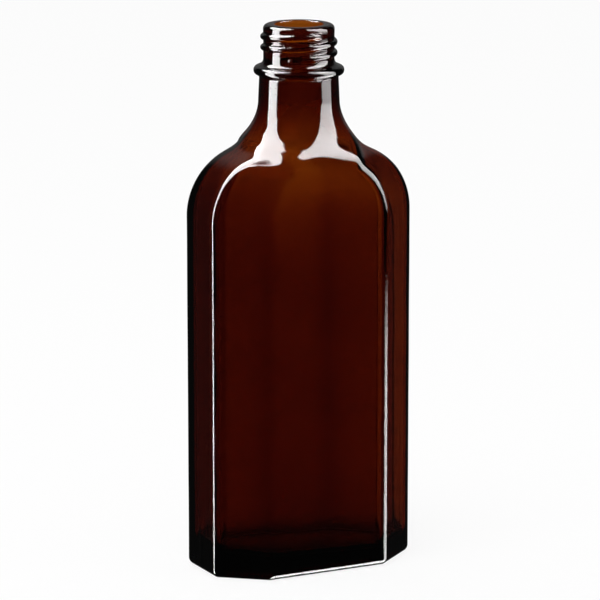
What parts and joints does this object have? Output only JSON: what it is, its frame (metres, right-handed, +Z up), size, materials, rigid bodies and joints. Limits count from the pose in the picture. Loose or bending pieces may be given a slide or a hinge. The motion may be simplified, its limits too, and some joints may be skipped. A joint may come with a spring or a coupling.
{
  "type": "flat medicine bottle",
  "caption": "Flat amber glass medicine bottle with bevelled sides, an arched shoulder, a round neck with a ring bead and a screw-threaded mouth, open and without a cap.",
  "frame": {"origin": "middle of the base, on the surface that the bottle stands on", "axes": "+Z up along the neck, X across the width, Y through the depth with the front panel towards -Y"},
  "size_m": [0.0624, 0.0374, 0.1545],
  "materials": {
    "amber_glass": "clear amber, smooth blown and fire polished"
  },
  "bodies": {
    "root": {"bottle": "amber_glass"}
  },
  "joints": []
}
